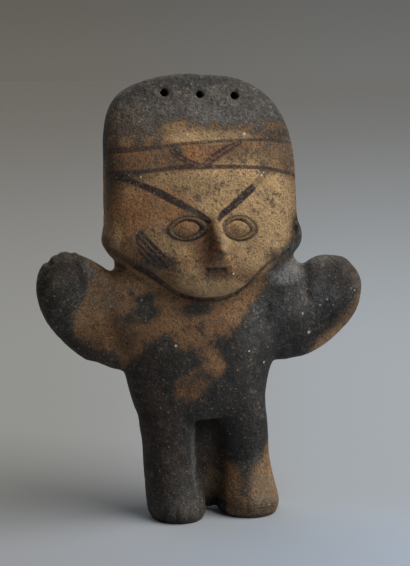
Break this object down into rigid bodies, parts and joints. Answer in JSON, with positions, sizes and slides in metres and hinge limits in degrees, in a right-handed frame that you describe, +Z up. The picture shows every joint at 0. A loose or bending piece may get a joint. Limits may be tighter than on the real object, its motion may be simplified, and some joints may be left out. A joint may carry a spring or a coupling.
{
  "type": "anthropomorphic statuette",
  "caption": "Standing clay figurine of a person with a tall flattened head, raised paddle-like arms, short stump legs and small holes along its crest.",
  "frame": {"origin": "on the ground, under the middle of the figure's outline", "axes": "+Z up, the figure faces -Y, +X is to the right of someone who faces the figure"},
  "size_m": [0.1832, 0.06, 0.2401],
  "materials": {
    "fired_clay": "matt fired clay, ochre and tan with fire-clouded charcoal patches and dark painted lines, unglazed and worn"
  },
  "bodies": {
    "root": {"statuette": "fired_clay"}
  },
  "joints": []
}
